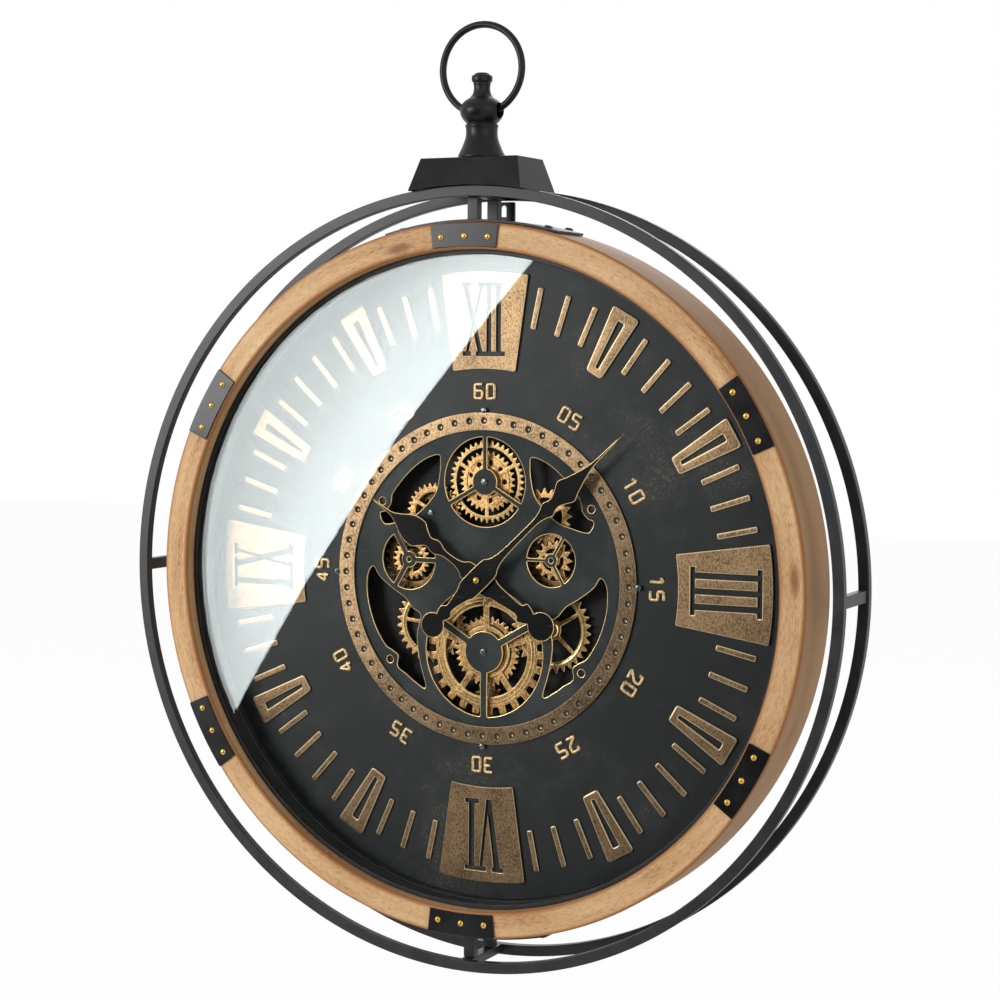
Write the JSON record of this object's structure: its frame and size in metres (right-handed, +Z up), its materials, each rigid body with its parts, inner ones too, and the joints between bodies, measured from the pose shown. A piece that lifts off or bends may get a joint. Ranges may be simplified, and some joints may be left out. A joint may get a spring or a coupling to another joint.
{
  "type": "wall clock",
  "caption": "Round wall clock: wooden ring and glazed skeleton dial with turning gears, held inside twin black hoops, with a crown box, finial and swinging bail.",
  "frame": {"origin": "on the wall plane, at the middle of the rear hoop's back face at twelve o'clock", "axes": "+Z up, +Y into the wall, the dial faces -Y, +X to the viewer's right"},
  "size_m": [0.6, 0.0703, 0.7251],
  "materials": {
    "black_steel": "satin black powder coat",
    "oiled_wood": "oiled, with burnished edges",
    "clear_glass": "polished flat glass",
    "slate_paint": "charcoal slate paint",
    "antique_bronze": "aged bronze",
    "dark_bronze": "dark aged bronze",
    "nail_brass": "polished brass",
    "grey_steel": "plain turned steel",
    "painted_board": "fibreboard, painted flat black",
    "black_plastic": "moulded",
    "cell_wrap": "plain wrap"
  },
  "bodies": {
    "case": {"back_panel": "painted_board", "battery_tray": "black_plastic", "bezel_ring": "black_plastic", "bottom_bracket": "black_steel", "bush_nut": "nail_brass", "case_drum": "black_steel", "chapter_ring": "antique_bronze", "corner_plate_02": "black_steel", "corner_plate_04": "black_steel", "corner_plate_06": "black_steel", "corner_plate_08": "black_steel", "corner_plate_10": "black_steel", "corner_plate_12": "black_steel", "crown_box": "black_steel", "dial_plate": "slate_paint", "finial": "black_steel", "front_hoop": "black_steel", "gear_motor": "grey_steel", "glass_pane": "clear_glass", "hanger_plate": "black_steel", "hoop_strut_bottom": "black_steel", "hoop_strut_left": "black_steel", "hoop_strut_right": "black_steel", "hoop_strut_top": "black_steel", "motor_cell_1": "cell_wrap", "motor_cell_2": "cell_wrap", "movement_cell": "cell_wrap", "movement_pillar_1": "grey_steel", "movement_pillar_2": "grey_steel", "movement_pillar_3": "grey_steel", "movement_pillar_4": "grey_steel", "quartz_movement": "black_plastic", "rear_hoop": "black_steel", "rear_plate": "black_steel", "skeleton_plate": "slate_paint", "top_bracket": "black_steel", "wood_ring": "oiled_wood"},
    "bail": {"bail_ring": "black_steel"},
    "minute": {"minute_hand": "slate_paint", "minute_arbor": "grey_steel", "hand_cap": "nail_brass", "setting_wheel": "black_plastic"},
    "hour": {"hour_hand": "slate_paint", "hour_pipe": "nail_brass"},
    "great": {"great_wheel": "antique_bronze", "great_inner_wheel": "antique_bronze"},
    "left": {"left_wheel": "antique_bronze"},
    "right": {"right_wheel": "antique_bronze"},
    "mid_left": {"mid_left_arbor": "antique_bronze", "mid_left_wheel": "antique_bronze"},
    "mid_right": {"mid_right_arbor": "antique_bronze", "mid_right_wheel": "antique_bronze"},
    "upper_left": {"upper_left_arbor": "antique_bronze", "upper_left_wheel": "antique_bronze"},
    "upper_right": {"upper_right_wheel": "antique_bronze"},
    "upper": {"upper_wheel": "antique_bronze", "upper_inner_wheel": "antique_bronze", "upper_arbor": "dark_bronze"},
    "motor": {"motor_pinion": "nail_brass"},
    "cover": {"battery_cover": "black_plastic"}
  },
  "joints": [
    {"name": "bail_swing", "type": "hinge", "parent": "case", "child": "bail", "pos_m": [0, -0.0399, 0.06145], "axis": [1, 0, 0], "range_deg": [-135, 135]},
    {"name": "minute_hand_turn", "type": "hinge", "parent": "case", "child": "minute", "pos_m": [0, -0.0321, -0.29585], "axis": [0, 1, 0], "continuous": true},
    {"name": "hour_hand_turn", "type": "hinge", "parent": "case", "child": "hour", "pos_m": [0, -0.0321, -0.29585], "axis": [0, 1, 0], "continuous": true},
    {"name": "great_turn", "type": "hinge", "parent": "case", "child": "great", "pos_m": [0, -0.0321, -0.35285], "axis": [0, 1, 0], "continuous": true},
    {"name": "left_turn", "type": "hinge", "parent": "case", "child": "left", "pos_m": [-0.05074, -0.0321, -0.33438], "axis": [0, 1, 0], "continuous": true},
    {"name": "right_turn", "type": "hinge", "parent": "case", "child": "right", "pos_m": [0.05343, -0.0321, -0.33298], "axis": [0, 1, 0], "continuous": true},
    {"name": "mid_left_turn", "type": "hinge", "parent": "case", "child": "mid_left", "pos_m": [-0.06624, -0.0321, -0.2837], "axis": [0, 1, 0], "continuous": true},
    {"name": "mid_right_turn", "type": "hinge", "parent": "case", "child": "mid_right", "pos_m": [0.05691, -0.0321, -0.27909], "axis": [0, 1, 0], "continuous": true},
    {"name": "upper_left_turn", "type": "hinge", "parent": "case", "child": "upper_left", "pos_m": [-0.04644, -0.0321, -0.24666], "axis": [0, 1, 0], "continuous": true},
    {"name": "upper_right_turn", "type": "hinge", "parent": "case", "child": "upper_right", "pos_m": [0.05001, -0.0321, -0.2458], "axis": [0, 1, 0], "continuous": true},
    {"name": "upper_turn", "type": "hinge", "parent": "case", "child": "upper", "pos_m": [0, -0.0321, -0.22085], "axis": [0, 1, 0], "continuous": true},
    {"name": "motor_turn", "type": "hinge", "parent": "case", "child": "motor", "pos_m": [0, -0.0321, -0.38785], "axis": [0, 1, 0], "continuous": true},
    {"name": "battery_cover_slide", "type": "slide", "parent": "case", "child": "cover", "axis": [1, 0, 0], "range_m": [0, 0.03]}
  ],
  "couplings": [
    {"joint": "hour_hand_turn", "follows": "minute_hand_turn", "ratio": 0.083333},
    {"joint": "left_turn", "follows": "great_turn", "ratio": -0.86207},
    {"joint": "right_turn", "follows": "great_turn", "ratio": -0.78125},
    {"joint": "mid_left_turn", "follows": "great_turn", "ratio": 1.0417},
    {"joint": "mid_right_turn", "follows": "great_turn", "ratio": 1.1364},
    {"joint": "upper_left_turn", "follows": "great_turn", "ratio": -1.3889},
    {"joint": "upper_right_turn", "follows": "great_turn", "ratio": -0.79545},
    {"joint": "upper_turn", "follows": "great_turn", "ratio": 1.0069},
    {"joint": "motor_turn", "follows": "great_turn", "ratio": -2.5}
  ]
}
